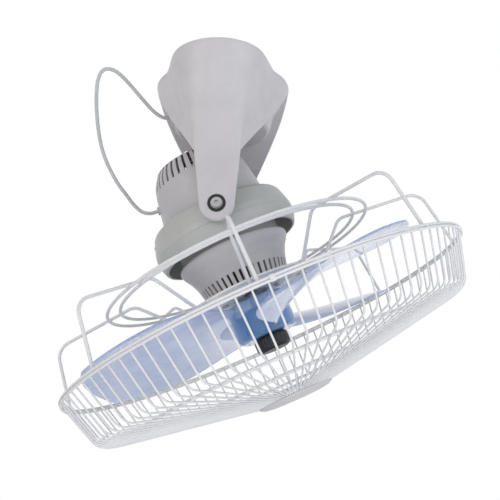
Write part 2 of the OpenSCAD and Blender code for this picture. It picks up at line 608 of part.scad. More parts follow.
worm1_lead_a = atan(starts * gear_m / (2 * worm1_r));
worm2_lead_a = atan(starts * gear_m / (2 * worm2_r));
module worm_wheel() color(nylon) head() translate([0, cross_y, train_z]) rotate([0, 90, 0]) difference() {
    rotate([0, 0, 270 + 180 / wheel_teeth]) helical_teeth(wheel_teeth, gear_m, gear_w, backlash,
        -gear_w * tan(worm1_lead_a) / wheel_r * 180 / PI);
    cylinder(r = 4, h = 20, center = true);
}
module cross_shaft() color(steel) head() translate([0, cross_y, train_z]) {
    along_x(counter_x - 17, counter_x - 8, 3);
    translate([counter_x, 0, 0]) rotate([0, 90, 0]) {
        cylinder(r = worm2_r - 1.3 * gear_m, h = 20, center = true);
        worm_thread(worm2_r, 15, 1);
    }
    along_x(counter_x + 8, -gear_w / 2 - 2, 3);
    along_x(-gear_w / 2 - 2, gear_w / 2 + 2, 4);
    along_x(gear_w / 2 + 2, 18.5, 3);
}
module second_wheel() color(nylon) head() translate([counter_x, counter_y, train_z]) difference() {
    rotate([0, 0, 90 + 180 / second_teeth]) helical_teeth(second_teeth, gear_m, gear_w - 1, backlash,
        -(gear_w - 1) * tan(worm2_lead_a) / second_r * 180 / PI);
    cylinder(r = 3, h = 20, center = true);
}
module counter_shaft() color(steel) head() translate([counter_x, counter_y, 0]) {
    translate([0, 0, 16]) cylinder(r = 3, h = 52.5);
    translate([0, 0, output_z + 3]) gear_teeth(pinion_teeth, gear_m, 8, backlash);
}
module output_gear() color(steel) head() {
    translate([0, 0, output_z + 3]) rotate([0, 0, output_phase])
        gear_teeth(output_teeth, gear_m, 6, backlash);
    translate([0, 0, output_z + 6]) cylinder(r = sleeve_r, h = crank_z - output_z - 6);
}
// The pinion's tooth meets a gap of the output gear on the line between their centres.
output_phase = atan2(counter_y, counter_x) + 180 / output_teeth
    + (atan2(-counter_y, -counter_x)) * pinion_teeth / output_teeth;
module crank_arm() color(steel) head() difference() {
    union() {
        translate([0, 0, crank_z]) cylinder(r = 9, h = crank_t + 1.5);
        translate([0, 0, crank_z]) hull() for (x = [0, crank_e]) translate([x, 0, 0])
            cylinder(r = 7, h = crank_t, $fn = 32);
    }
    translate([crank_e, 0, crank_z - 1]) cylinder(r = 2.5, h = crank_t + 2);
}
module crank_ball() color(steel) head() translate([crank_e, 0, 0]) {
    translate([0, 0, crank_z]) cylinder(r = 2.5, h = crank_h - crank_z - 2);
    translate([0, 0, crank_h]) sphere(r = ball_r);
    translate([0, 0, crank_z + crank_t]) cylinder(r = 3.6, h = 1.6);
}

// ---- guard ---------------------------------------------------------------------
module guard_plate() color(white) head() difference() {
    tube(80, 20, plate_top - guard_plate_t, plate_top);
    ring_of(4) translate([31, 0, plate_top - 5]) cylinder(r = 2, h = 10);
    ring_of(rear_arms, rear_start + 180 / rear_arms) translate([60, 0, plate_top - 5])
        cylinder(r = 8, h = 10);
}
module guard_screws() color(steel) head() ring_of(4) translate([31, 0, plate_top - guard_plate_t])
    mirror([0, 0, 1]) pan_screw(1.8, 6);

weld = 0.25;                       // depth that welded wires bite into each other
rear_start = -91;                  // azimuth of the first rear guard wire
arm_foot = ring_R - ring_w - rim_w + weld + 0.2;
arm_end_z = plate_top - guard_plate_t - ring_w - rim_z + weld / 2;
rear_path = [[arm_foot, 0], [arm_foot - 9, rear_guard_h - 9], [122, rear_guard_h],
    [82, arm_end_z], [54, arm_end_z]];
module rear_guard_arms() color(white) head() translate([0, 0, rim_z])
    ring_of(rear_arms, rear_start) bent_wire(rear_path, [0, 18, 14, 9, 0], ring_w);
module rear_guard_rings() color(white) head() translate([0, 0, rim_z]) {
    wire_ring(152, rear_guard_h - 2.45 - 2 * ring_w + weld + 0.25, ring_w);
    wire_ring(137, rear_guard_h - 1.22 - 2 * ring_w + weld + 0.25, ring_w);
    wire_ring(ring_R, rim_step, rim_w);
}
// Clips that hold the two rim wires, and with them the two guards, together.
clip_turn = 3;                     // a clip takes up this angle of the rim
module rim_clips() color(white) head() translate([0, 0, rim_z]) ring_of(4, 2)
    rotate_extrude(angle = clip_turn, $fn = 160) difference() {
        translate([ring_R - 1.8, -clip_h]) square([rim_r - ring_R + 1.8, 2 * clip_h]);
        translate([ring_R - 3, -clip_h + clip_t]) square([3 + rim_w + 0.06, 2 * (clip_h - clip_t)]);
    }
clip_h = rim_step + rim_w + 0.06 + clip_t;

wall_run = 18;                     // how far the front guard's side draws in
face_slope = (front_guard_h - corner_h) / (ring_R - wall_run - 44);
function face_h(r) = -corner_h - (ring_R - wall_run - r) * face_slope;
spoke_lift = (ring_w + spoke_w - weld);
wall_cos = corner_h / norm([wall_run, corner_h]);
spoke_foot = ring_R - (rim_w + spoke_w - weld) / wall_cos + rim_step * wall_run / corner_h;
spoke_path = [[spoke_foot, 0], [spoke_foot - wall_run, -corner_h], [39, face_h(39)]];
module front_guard_spokes() color(white) head() translate([0, 0, rim_z])
    ring_of(spokes, 0.9) bent_wire(spoke_path, [0, 14, 0], spoke_w);
module front_guard_rings() color(white) head() translate([0, 0, rim_z]) {
    wire_ring(ring_R, -rim_step, rim_w);
    for (r = [173, 112, 46]) wire_ring(r, face_h(r) + spoke_lift - 0.15, ring_w);
}
module guard_badge() color(white) head() translate([0, 0, rim_z + face_h(42) - spoke_w]) turned([[0, -4.5],
    [30, -4.2], [37, -3.2], [badge_r - 1, -1.2], [badge_r, 0.1], [badge_r - 2.5, 0.5], [36, -1], [0, -1.5]]);

ceiling_plate();
yoke();
yoke_screws();
crank_socket();
terminal_block();
canopy_gland();
pivot_screws();
pivot_washers();
cord_upper();
cord_lower();
ring_upper();
ring_lower();
ring_screws();
ring_bushes();
front_housing();
rear_housing();
gear_cover();
cover_screws();
head_pins();
head_gland();
stator_core();
stator_winding();
front_bearing();
rear_bearing();
gear_plate();
gear_bridge();
capacitor();
guard_plate();
guard_screws();
rear_guard_arms();
rear_guard_rings();
rim_clips();
front_guard_spokes();
front_guard_rings();
guard_badge();
rotor_core();
motor_shaft();
fan_hub();
fan_blades();
drive_pin();
spinner_nut();
worm_wheel();
cross_shaft();
counter_shaft();
second_wheel();
output_gear();
crank_arm();
crank_ball();
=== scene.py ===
"""Orbital ceiling fan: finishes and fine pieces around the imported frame."""
import json
import math

import bmesh
import bpy
from mathutils import Matrix, Vector


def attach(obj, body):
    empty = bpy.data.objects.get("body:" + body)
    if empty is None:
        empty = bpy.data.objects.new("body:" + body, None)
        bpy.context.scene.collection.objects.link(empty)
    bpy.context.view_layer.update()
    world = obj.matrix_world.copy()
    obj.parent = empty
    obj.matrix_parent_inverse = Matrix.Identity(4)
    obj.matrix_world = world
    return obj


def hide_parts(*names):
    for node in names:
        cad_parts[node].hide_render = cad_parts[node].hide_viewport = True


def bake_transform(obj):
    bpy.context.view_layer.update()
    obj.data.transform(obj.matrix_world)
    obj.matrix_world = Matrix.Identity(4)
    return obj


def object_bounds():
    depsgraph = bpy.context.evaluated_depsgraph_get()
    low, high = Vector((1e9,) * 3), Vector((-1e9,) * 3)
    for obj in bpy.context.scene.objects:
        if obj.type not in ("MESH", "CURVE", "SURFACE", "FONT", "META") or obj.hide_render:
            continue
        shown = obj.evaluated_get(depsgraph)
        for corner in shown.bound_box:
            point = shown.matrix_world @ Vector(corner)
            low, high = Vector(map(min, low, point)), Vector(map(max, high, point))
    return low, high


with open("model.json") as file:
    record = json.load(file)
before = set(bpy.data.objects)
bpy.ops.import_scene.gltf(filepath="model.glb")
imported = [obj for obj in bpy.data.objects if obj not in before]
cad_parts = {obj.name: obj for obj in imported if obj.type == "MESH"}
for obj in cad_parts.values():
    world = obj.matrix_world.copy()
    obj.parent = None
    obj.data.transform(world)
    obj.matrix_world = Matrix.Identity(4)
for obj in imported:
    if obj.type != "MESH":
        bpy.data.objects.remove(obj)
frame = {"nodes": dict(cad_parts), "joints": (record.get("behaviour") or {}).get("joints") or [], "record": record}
cad_box = [list(corner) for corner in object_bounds()]
joints = {joint["name"]: joint for joint in frame["joints"]}

# The fan's sizes are in millimetres. The camera, the floor and the lamps stand in metres.
MM = 0.001

# ---- the head's own frame: origin at the gimbal centre, z along the motor shaft ----
gimbal = Vector(joints["ring_tilt"]["pos_m"])
shaft_axis = Vector(joints["rotor_spin"]["axis"])
lean = math.atan2(-shaft_axis.x, shaft_axis.z)
HEAD = Matrix.Translation(gimbal) @ Matrix.Rotation(-lean, 4, "Y")
RIM_Z = -119  # the guard's rim in that frame


# ---- camera --------------------------------------------------------------------
CAMERA_PLACE = Vector((0.0517, -0.8439, -0.4046))
CAMERA_FORWARD = Vector((-0.0235, 0.9690, 0.2458))
CAMERA_UP = Vector((0.0060, -0.2457, 0.9693))
CAMERA_LENS = 56.9
SENSOR_WIDTH = 36


def make_camera():
    """The camera stands a little below the fan and looks up at it."""
    camera = bpy.data.objects.new("camera", bpy.data.cameras.new("camera"))
    bpy.context.scene.collection.objects.link(camera)
    forward = CAMERA_FORWARD.normalized()
    right = forward.cross(CAMERA_UP).normalized()
    up = right.cross(forward)
    turn = Matrix((right, up, -forward)).transposed()
    camera.matrix_world = Matrix.Translation(CAMERA_PLACE) @ turn.to_4x4()
    camera.data.lens = CAMERA_LENS
    camera.data.sensor_width = SENSOR_WIDTH
    bpy.context.scene.camera = camera


# ---- from a working mesh to a piece ---------------------------------------------
def place_mesh(name, data):
    """Stand a finished mesh in the scene, at the origin."""
    piece = bpy.data.objects.new(name, data)
    bpy.context.scene.collection.objects.link(piece)
    return piece


def finish_mesh(name, mesh, material, bevel, corner=40):
    """A smooth piece whose edges are rounded where they turn by more than corner degrees."""
    data = bpy.data.meshes.new(name)
    mesh.to_mesh(data)
    mesh.free()
    data.shade_smooth()
    data.materials.append(material)
    piece = place_mesh(name, data)
    rounding = piece.modifiers.new("rounding", "BEVEL")
    rounding.width = bevel * MM
    rounding.segments = 3
    rounding.limit_method = "ANGLE"
    rounding.angle_limit = math.radians(corner)
    return piece


# ---- supply cord ---------------------------------------------------------------
CORD_DIAMETER = 4 * MM
CORD_SIDES = 20
CORD_STEPS = 5  # points of the smooth line for each point of the route
# The two routes have the same points as in the part's source.
UPPER_ROUTE = (
    (-53.4, -21.6, -41.5), (-63.8, -25.8, -44.1), (-74, -32, -40), (-84, -41, -31.5),
    (-94, -52, -22), (-103, -63, -14.5), (-111, -72, -10), (-119, -78, -10), (-125, -79, -14),
    (-129, -76, -22), (-131, -71, -32), (-132, -65, -44), (-132, -58, -58), (-131, -51, -72),
    (-129, -44, -85), (-125, -37, -98), (-120, -30, -109), (-113, -22, -121), (-105, -15, -131),
)
LOWER_ROUTE = (
    (-105, -15, -131), (-97.8, -8.7, -140), (-89.3, -5.2, -147), (-80.4, -4, -148.9),
    (-71.4, -4, -146.6),
)


def smooth_line(route):
    """Points of a smooth curve through the route's own points, in metres."""
    points = [Vector(point) * MM for point in route]
    last = len(points) - 1
    line = []
    for i in range(last):
        a, b = points[max(0, i - 1)], points[i]
        c, d = points[i + 1], points[min(last, i + 2)]
        for k in range(CORD_STEPS):
            f = k / CORD_STEPS
            line.append(
                0.5 * (2 * b + f * (c - a) + f * f * (2 * a - 5 * b + 4 * c - d)
                       + f ** 3 * (3 * b - a - 3 * c + d))
            )
    return line + [points[last]]


def line_length(line):
    """Length of a line of points."""
    return sum((b - a).length for a, b in zip(line, line[1:]))


def tube_along(name, line, diameter):
    """A closed mesh tube whose rings stand on the line's points."""
    curve = bpy.data.curves.new(name, "CURVE")
    curve.dimensions = "3D"
    curve.bevel_depth = diameter / 2
    curve.bevel_resolution = CORD_SIDES // 4 - 1
    curve.use_fill_caps = True
    curve.twist_mode = "MINIMUM"
    spline = curve.splines.new("POLY")
    spline.points.add(len(line) - 1)
    for point, place in zip(spline.points, line):
        point.co = (*place, 1)
    holder = bpy.data.objects.new(name + "_line", curve)
    data = bpy.data.meshes.new_from_object(holder)
    bpy.data.objects.remove(holder)
    data.name = name
    data.shade_smooth()
    return place_mesh(name, data)


def make_cord(name, node, route):
    """One stretch of the supply cord, a tube along its bent route."""
    line = smooth_line(route)
    cord = tube_along(name, line, CORD_DIAMETER)
    cord.data.materials.append(finishes["cord_grey"])
    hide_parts(node)
    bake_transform(cord)
    line_length(line)


# ---- shader nodes --------------------------------------------------------------
class Value:
    """A shader socket that can be multiplied in an expression."""

    def __init__(self, nodes, socket):
        self.nodes, self.socket = nodes, socket

    def __mul__(self, other):
        return self.nodes.node("ShaderNodeMath", {"operation": "MULTIPLY"}, {0: self, 1: other})

    __rmul__ = __mul__


class Nodes:
    """A node tree under construction, and the one method that adds nodes to it."""

    def __init__(self, tree):
        self.tree = tree

    def node(self, kind, settings=None, inputs=None, output=0):
        """Add a node: first its settings, then the values or links of its sockets."""
        made = self.tree.nodes.new(kind)
        for key, value in (settings or {}).items():
            setattr(made, key, value)
        for key, value in (inputs or {}).items():
            if isinstance(value, Value):
                self.tree.links.new(value.socket, made.inputs[key])
            else:
                made.inputs[key].default_value = value
        return Value(self, made.outputs[output])

    def show(self, output, shown):
        """Link a shader to the tree's output node."""
        self.tree.links.new(shown.socket, self.tree.nodes[output].inputs["Surface"])


class Finish(Nodes):
    """A material under construction: its shader and the patterns that feed it."""

    def __init__(self, name, **constants):
        self.material = bpy.data.materials.new(name)
        self.material.use_nodes = True
        super().__init__(self.material.node_tree)
        self.shader = self.tree.nodes["Principled BSDF"]
        for socket, value in constants.items():
            self.shader.inputs[socket.replace("_", " ")].default_value = value

    def feed(self, socket, value):
        """Link a value to one of the shader's sockets."""
        self.tree.links.new(value.socket, self.shader.inputs[socket])

    def vectors(self, operation, inputs):
        """A Vector Math node."""
        return self.node("ShaderNodeVectorMath", {"operation": operation}, inputs)

    def place(self):
        """Object coordinates in millimetres."""
        at = self.node("ShaderNodeTexCoord", output="Object")
        return self.vectors("SCALE", {0: at, "Scale": 1 / MM})

    def head_place(self):
        """Coordinates in the head's own frame, in millimetres: z runs along the shaft."""
        from_gimbal = self.vectors("SUBTRACT", {0: self.place(), 1: tuple(gimbal / MM)})
        return self.node(
            "ShaderNodeMapping", {"vector_type": "POINT"},
            {"Vector": from_gimbal, "Rotation": (0, lean, 0)},
        )

    def noise(self, size, at=None, detail=2.0, distortion=0.0):
        """Cloudy values from 0 to 1 whose blobs are about size millimetres across."""
        return self.node(
            "ShaderNodeTexNoise", {"noise_dimensions": "3D"},
            {
                "Vector": at or self.place(), "Scale": 1 / size, "Detail": detail,
                "Distortion": distortion,
            },
        )

    def cells(self, size):
        """Distance from the middle of cells that are about size millimetres across."""
        return self.node(
            "ShaderNodeTexVoronoi", {"feature": "F1"}, {"Vector": self.place(), "Scale": 1 / size}
        )

    def wave(self, settings, inputs):
        """Even waves in the head's own frame."""
        return self.node("ShaderNodeTexWave", settings, {"Vector": self.head_place(), **inputs})

    def spread(self, value, over, to=(0.0, 1.0)):
        """Carry the range of values given by over softly to the range given by to."""
        return self.node(
            "ShaderNodeMapRange", {"interpolation_type": "SMOOTHSTEP"},
            {
                "Value": value, "From Min": over[0], "From Max": over[1],
                "To Min": to[0], "To Max": to[1],
            },
        )

    def mix(self, a, b, factor):
        """Colour a where the factor is 0, and colour b where it is 1."""
        return self.node(
            "ShaderNodeMix", {"data_type": "RGBA"}, {0: factor, 6: a, 7: b}, output=2
        )

    def bump(self, height, depth, strength, below=None):
        """Relief of the given depth in millimetres, on top of the relief below."""
        inputs = {"Height": height, "Distance": depth * MM, "Strength": strength}
        if below is not None:
            inputs["Normal"] = below
        return self.node("ShaderNodeBump", None, inputs)

    def soft_edges(self, radius):
        """Normals that roll over an edge, as a mould leaves it."""
        return self.node("ShaderNodeBevel", {"samples": 6}, {"Radius": radius * MM})


def paint(colour, share=1.0):
    """A colour for a socket, darkened to the given share."""
    return (*(part * share for part in colour), 1.0)


# ---- finishes ------------------------------------------------------------------
SATIN = 0.42  # roughness of the white mouldings
MOULD_EDGE = 1.0  # radius of their edges
WIRE_SPECK = (0.66, 0.65, 0.61)
LAMINATION, RUST = (0.30, 0.30, 0.32), (0.30, 0.20, 0.14)
# The gap colour is painted shade in the grooves between the winding's turns.
COPPER_GAP_SHADE, COPPER_WIRE = (0.45, 0.20, 0.08), (0.80, 0.42, 0.20)
# The pore colour is painted shade inside the bronze's open pores.
BRONZE_PORE_SHADE, BRONZE = (0.26, 0.17, 0.08), (0.72, 0.52, 0.27)
NYLON, NYLON_AGED = (0.86, 0.84, 0.75), (0.74, 0.71, 0.60)
BLACK, BLACK_DUST = (0.016, 0.017, 0.021), (0.08, 0.08, 0.085)
SHEATH, SHEATH_AGED = (0.60, 0.61, 0.61), (0.47, 0.48, 0.49)


def moulded_white(name, colour, aged):
    """Satin moulded plastic: fine spark texture, faint flow clouds and handling dust."""
    f = Finish(name, Specular_IOR_Level=0.45, IOR=1.5)
    clouds = f.noise(34, detail=3)
    streaks = f.noise(7, detail=4, distortion=0.6)
    spark = f.noise(0.5, detail=1)
    tone = f.mix(paint(colour), paint(aged), f.spread(clouds, (0.35, 0.75), (0.0, 0.7)))
    dust = f.spread(streaks, (0.55, 0.8), (0.0, 0.22))
    f.feed("Base Color", f.mix(tone, paint(aged, 0.86), dust))
    f.feed("Roughness", f.spread(streaks, (0.3, 0.7), (SATIN - 0.05, SATIN + 0.09)))
    ripple = f.bump(clouds, depth=0.25, strength=0.35, below=f.soft_edges(MOULD_EDGE))
    f.feed("Normal", f.bump(spark, depth=0.03, strength=0.6, below=ripple))
    return f.material


def powder_coat(name, colour):
    """Powder coated wire: orange peel and small specks."""
    f = Finish(name, Specular_IOR_Level=0.5)
    peel = f.noise(0.9)
    clouds = f.noise(26)
    specks = f.spread(f.noise(1.6, detail=0), (0.68, 0.74), (0.0, 0.35))
    tone = f.mix(paint(colour), paint(colour, 0.93), clouds)
    f.feed("Base Color", f.mix(tone, paint(WIRE_SPECK), specks))
    f.feed("Roughness", f.spread(clouds, (0.3, 0.7), (0.26, 0.36)))
    f.feed("Normal", f.bump(peel, depth=0.05, strength=0.5))
    return f.material


def bright_steel(name, colour, rough):
    """Zinc plated steel: clouded plating with fine drawn scratches."""
    f = Finish(name, Metallic=1.0)
    drawn = f.vectors("MULTIPLY", {0: f.head_place(), 1: (1.0, 1.0, 12.0)})
    scratches = f.noise(0.7, drawn)
    clouds = f.noise(6, detail=3)
    f.feed("Base Color", f.mix(paint(colour), paint(colour, 0.8), clouds))
    f.feed("Roughness", f.spread(scratches, (0.25, 0.75), (rough - 0.08, rough + 0.1)))
    f.feed("Normal", f.bump(scratches, depth=0.012, strength=0.5))
    return f.material


def stacked_laminations():
    """Stacked steel sheets with a little rust."""
    f = Finish("stacked_laminations", Metallic=1.0)
    sheets = f.wave(
        {"wave_type": "BANDS", "bands_direction": "Z"}, {"Scale": 0.32, "Distortion": 0.0}
    )
    rust = f.spread(f.noise(5, detail=4), (0.55, 0.75))
    f.feed("Base Color", f.mix(paint(LAMINATION), paint(RUST), rust))
    f.feed("Roughness", f.spread(rust, (0.0, 1.0), (0.45, 0.75)))
    f.feed("Normal", f.bump(sheets, depth=0.15, strength=0.8))
    return f.material


def wound_copper():
    """Enamelled wire, turn beside turn round the shaft, with painted shade in the gaps between turns."""
    f = Finish("wound_copper", Metallic=0.9, Coat_Weight=0.4)
    turns = f.wave(
        {"wave_type": "RINGS", "rings_direction": "Z"},
        {"Scale": 0.4, "Distortion": 1.2, "Detail": 2.0, "Detail Scale": 0.2},
    )
    # The gaps between turns are darkened with painted shade.
    f.feed("Base Color", f.mix(paint(COPPER_GAP_SHADE), paint(COPPER_WIRE), turns))
    f.feed("Roughness", f.spread(turns, (0.0, 1.0), (0.5, 0.28)))
    f.feed("Normal", f.bump(turns, depth=0.25, strength=0.8))
    return f.material


def sintered_bronze():
    """Pressed bronze powder with its open pores, which are darkened with painted shade."""
    f = Finish("sintered_bronze", Metallic=1.0)
    solid = f.spread(f.cells(0.7), (0.05, 0.25))
    # The pores are darkened with painted shade.
    f.feed("Base Color", f.mix(paint(BRONZE_PORE_SHADE), paint(BRONZE), solid))
    f.feed("Roughness", f.spread(solid, (0.0, 1.0), (0.7, 0.42)))
    f.feed("Normal", f.bump(solid, depth=0.05, strength=0.6))
    return f.material


def natural_nylon():
    """Undyed nylon, a little yellowed."""
    f = Finish("natural_nylon", Subsurface_Weight=0.15, Subsurface_Scale=0.003)
    clouds = f.noise(9, detail=3)
    f.feed("Base Color", f.mix(paint(NYLON), paint(NYLON_AGED), clouds))
    f.feed("Roughness", f.spread(clouds, (0.3, 0.7), (0.38, 0.5)))
    f.feed("Normal", f.bump(f.noise(0.6), depth=0.03, strength=0.5))
    return f.material


def clear_blue(name, colour, deep, through, rough):
    """Translucent moulded plastic: see-through face on, and denser towards its edges."""
    f = Finish(
        name, Transmission_Weight=0.25, IOR=1.42, Specular_IOR_Level=0.5, Coat_Weight=0.5,
        Coat_Roughness=0.08,
    )
    clouds = f.noise(30, distortion=0.8)
    flow = f.noise(9, distortion=1.2)
    edge = f.node("ShaderNodeLayerWeight", None, {"Blend": 0.35}, output="Facing")
    tone = f.mix(paint(colour), paint(deep), f.spread(clouds, (0.3, 0.75), (0.0, 0.6)))
    f.feed("Base Color", tone)
    f.feed("Roughness", f.spread(flow, (0.3, 0.7), (rough - 0.04, rough + 0.06)))
    f.feed("Alpha", f.spread(edge, (0.0, 0.8), (through, 0.97)))
    f.feed("Normal", f.bump(flow, depth=0.06, strength=0.25))
    return f.material


def black_moulding(name, rough):
    """Black plastic or rubber with a little dust on it."""
    f = Finish(name, Specular_IOR_Level=0.45)
    dust = f.spread(f.noise(3, detail=4), (0.55, 0.8), (0.0, 0.5))
    f.feed("Base Color", f.mix(paint(BLACK), paint(BLACK_DUST), dust))
    f.feed("Roughness", f.spread(dust, (0.0, 0.5), (rough, rough + 0.2)))
    f.feed("Normal", f.bump(f.noise(0.45), depth=0.03, strength=0.7))
    return f.material


def cord_sheath():
    """Grey sheath with the faint lay of the cores under it."""
    f = Finish("cord_sheath", Specular_IOR_Level=0.4)
    clouds = f.noise(12, detail=3)
    lay = f.noise(1.4)
    f.feed("Base Color", f.mix(paint(SHEATH), paint(SHEATH_AGED), clouds))
    f.feed("Roughness", f.spread(clouds, (0.3, 0.7), (0.42, 0.56)))
    f.feed("Normal", f.bump(lay, depth=0.06, strength=0.5))
    return f.material


# The finish of each material slot, and of the nodes whose colour differs from their slot's.
finishes = {
    "white_plastic": moulded_white("arm_white", (0.60, 0.58, 0.59), (0.54, 0.525, 0.53)),
    "white_wire": powder_coat("wire_white", (0.78, 0.78, 0.785)),
    "steel": bright_steel("zinc_steel", (0.60, 0.61, 0.63), 0.34),
    "laminations": stacked_laminations(),
    "copper": wound_copper(),
    "bronze": sintered_bronze(),
    "nylon": natural_nylon(),
    "blue_clear": clear_blue("hub_blue", (0.28, 0.52, 0.86), (0.12, 0.32, 0.72), 0.40, 0.14),
    "black_plastic": black_moulding("nut_black", 0.38),
    "black_rubber": black_moulding("washer_black", 0.62),
    "cord_grey": cord_sheath(),
}
ring_white = moulded_white("ring_white", (0.47, 0.48, 0.455), (0.43, 0.44, 0.415))
housing_white = moulded_white("housing_white", (0.53, 0.52, 0.53), (0.48, 0.465, 0.465))
screw_zinc = bright_steel("screw_zinc", (0.44, 0.44, 0.45), 0.38)
blade_blue = clear_blue("blade_blue", (0.56, 0.64, 0.86), (0.38, 0.48, 0.78), 0.30, 0.18)
core_blue = clear_blue("core_blue", (0.05, 0.20, 0.62), (0.02, 0.11, 0.46), 0.86, 0.2)
node_finishes = {
    "ring_upper": ring_white,
    "ring_lower": ring_white,
    "rear_housing": housing_white,
    "front_housing": housing_white,
    "gear_cover": housing_white,
    "pivot_screws": screw_zinc,
    "fan_blades": blade_blue,
}


def dress_nodes():
    """Each node of the frame takes its own finish, or else the finish of its slot."""
    for part in frame["record"]["subparts"]:
        materials = frame["nodes"][part["node"]].data.materials
        materials.clear()
        materials.append(node_finishes.get(part["node"], finishes[part["material_slot"]]))


# ---- blades --------------------------------------------------------------------
HUB_RADIUS = 33.5
HUB_HEIGHT = 40
HUB_OVER_RIM = 28
HUB_LOW = RIM_Z + HUB_OVER_RIM - HUB_HEIGHT
BLADE_RADIUS = 200
BLADE_THICKNESS = 2.4
BLADE_STARTS = (194, 314, 74)  # degrees round the shaft
BLADE_DROP = 1.5  # from the middle of the hub to the middle of the blades
BLADE_MIDDLE = HUB_LOW + HUB_HEIGHT / 2 - BLADE_DROP
BLADE_SINK = 1  # the roots reach this far into the hub
ROOT_SPAN, SPAN_GAIN, TIP_ROUNDING = 62, 26, 34  # degrees round the shaft
SPAN_WAVE = 150  # degrees of the sine that widens the blade from root to tip
BLADE_SWEEP = 14  # degrees that the tip trails behind the root
ROOT_RISE, MIDDLE_RISE, TIP_FALL = 33, 44, 10  # height of a blade from edge to edge
ROOT_CAMBER, CAMBER_GAIN = 4, 4
BLADE_COLUMNS, BLADE_ROWS = 40, 28


def blade_surface(along, across):
    """Middle of a blade's skin, from root to tip and from edge to edge, in the head's frame."""
    root = HUB_RADIUS - BLADE_SINK
    radius = root + along * (BLADE_RADIUS - root)
    wider = SPAN_GAIN * math.sin(math.radians(SPAN_WAVE * along))
    span = ROOT_SPAN + wider - TIP_ROUNDING * along ** 6
    angle = math.radians(span * (across - 0.5) - BLADE_SWEEP * along ** 2)
    swell = math.sin(math.pi * along)
    rise = ROOT_RISE + (MIDDLE_RISE - ROOT_RISE) * swell - TIP_FALL * along
    camber = (ROOT_CAMBER + CAMBER_GAIN * swell) * 4 * across * (1 - across)
    height = BLADE_MIDDLE + rise * (across - 0.5) + camber
    return Vector((radius * math.cos(angle), radius * math.sin(angle), height))


def make_blades():
    """Three smooth blades with a rounded rim, in place of the frame's faceted ones."""
    mesh = bmesh.new()
    for start in BLADE_STARTS:
        turn = Matrix.Rotation(math.radians(start), 4, "Z")
        grid = bmesh.ops.create_grid(
            mesh, x_segments=BLADE_COLUMNS, y_segments=BLADE_ROWS, size=0.5
        )["verts"]
        for vert in grid:
            vert.co = HEAD @ (turn @ blade_surface(vert.co.x + 0.5, vert.co.y + 0.5) * MM)
    bmesh.ops.recalc_face_normals(mesh, faces=mesh.faces)
    bmesh.ops.solidify(mesh, geom=mesh.faces, thickness=BLADE_THICKNESS * MM)
    bmesh.ops.recalc_face_normals(mesh, faces=mesh.faces)
    blades = finish_mesh("blades", mesh, blade_blue, bevel=0.9, corner=50)
    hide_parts("fan_blades")
    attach(blades, "rotor")


# ---- hub core ------------------------------------------------------------------
HUB_WALL = 2.5
CORE_RADIUS = 17.5
CORE_WALL = 1.9
CORE_LIFT = 3.2
CORE_LOW = HUB_LOW + CORE_LIFT
CORE_HEIGHT = 28.8
CORE_LIP = 0.8  # height of the core's drawn-in top edge
RIBS = 6
RIB_THICKNESS = 1.6
RIB_HEIGHT = 24
RIB_LIFT = 0.2
RIB_SINK = 0.3


def make_hub_core():
    """Deeper blue boss and six ribs, seen through the hub's clear shell."""
    mesh = bmesh.new()
    inside, top = CORE_RADIUS - CORE_WALL, CORE_LOW + CORE_HEIGHT
    profile = (
        (inside, CORE_LOW), (CORE_RADIUS, CORE_LOW),
        (CORE_RADIUS - CORE_LIP / 2, top - CORE_LIP), (CORE_RADIUS - CORE_LIP, top),
        (inside + CORE_LIP / 2, top), (inside, top - CORE_LIP),
    )
    ring = [mesh.verts.new((r, 0, z)) for r, z in profile]
    edges = [mesh.edges.new((a, b)) for a, b in zip(ring, ring[1:] + ring[:1])]
    bmesh.ops.spin(
        mesh, geom=edges, axis=(0, 0, 1), cent=(0, 0, 0), angle=math.tau, steps=64, use_merge=True
    )
    rib_from, rib_to = CORE_RADIUS - RIB_SINK, HUB_RADIUS - HUB_WALL
    middle = ((rib_from + rib_to) / 2, 0, CORE_LOW + RIB_LIFT + RIB_HEIGHT / 2)
    for k in range(RIBS):
        rib = bmesh.ops.create_cube(mesh, size=1)["verts"]
        bmesh.ops.scale(mesh, verts=rib, vec=(rib_to - rib_from, RIB_THICKNESS, RIB_HEIGHT))
        bmesh.ops.translate(mesh, verts=rib, vec=middle)
        turn = Matrix.Rotation(math.tau * (k + 0.5) / RIBS, 3, "Z")
        bmesh.ops.rotate(mesh, verts=rib, matrix=turn)
    bmesh.ops.transform(mesh, verts=mesh.verts, matrix=HEAD @ Matrix.Scale(MM, 4))
    bmesh.ops.recalc_face_normals(mesh, faces=mesh.faces)
    core = finish_mesh("hub_core", mesh, core_blue, bevel=0.35)
    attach(core, "rotor")


# ---- webs between the bell and the yoke arms -----------------------------------
# The bell's wall, as radius and height, from its rim at the ceiling down.
BELL_OUTLINE = ((76, 0), (70, -11), (64, -22), (57.5, -33), (54.5, -46), (53, -50), (50, -52))
BELL_RADIUS = BELL_OUTLINE[0][0]
BELL_WALL = 1.5
FOOT_RADIUS = 50
FOOT_OUT = 74
FOOT_DROP = 3
ARM_CORNER = Vector((23.2, 92.2, -110.2))
WEB_THICKNESS = 3
CORNER_SHARE, THINNING = 0.15, 4  # the web's thickness at the corner, and how fast it grows
WEB_SWELL = 5
WEB_DIP = 6
WEB_OUTWARD = Vector((0.94, 0.35, 0))
WEB_STEPS = 22
WEB_REACH = 0.985  # share of the way to the arm's corner
RIM_FROM = 0.6  # share of the upper edge at which it meets the bell's rim
LINING_THICKNESS = 2.4
LINING_BACK = Vector((0, 0.77, 0.64))
LINING_INSET = 0.6
LINING_STEPS = 8
LINING_FROM, LINING_TO = 0.02, 0.97  # shares of the web's free edge
SLOPE_STEP = 0.01  # how far apart the skin is read for its slope


def on_circle(radius, angle):
    """A point at the ceiling, at a radius and an angle."""
    return Vector((radius * math.cos(angle), radius * math.sin(angle), 0))


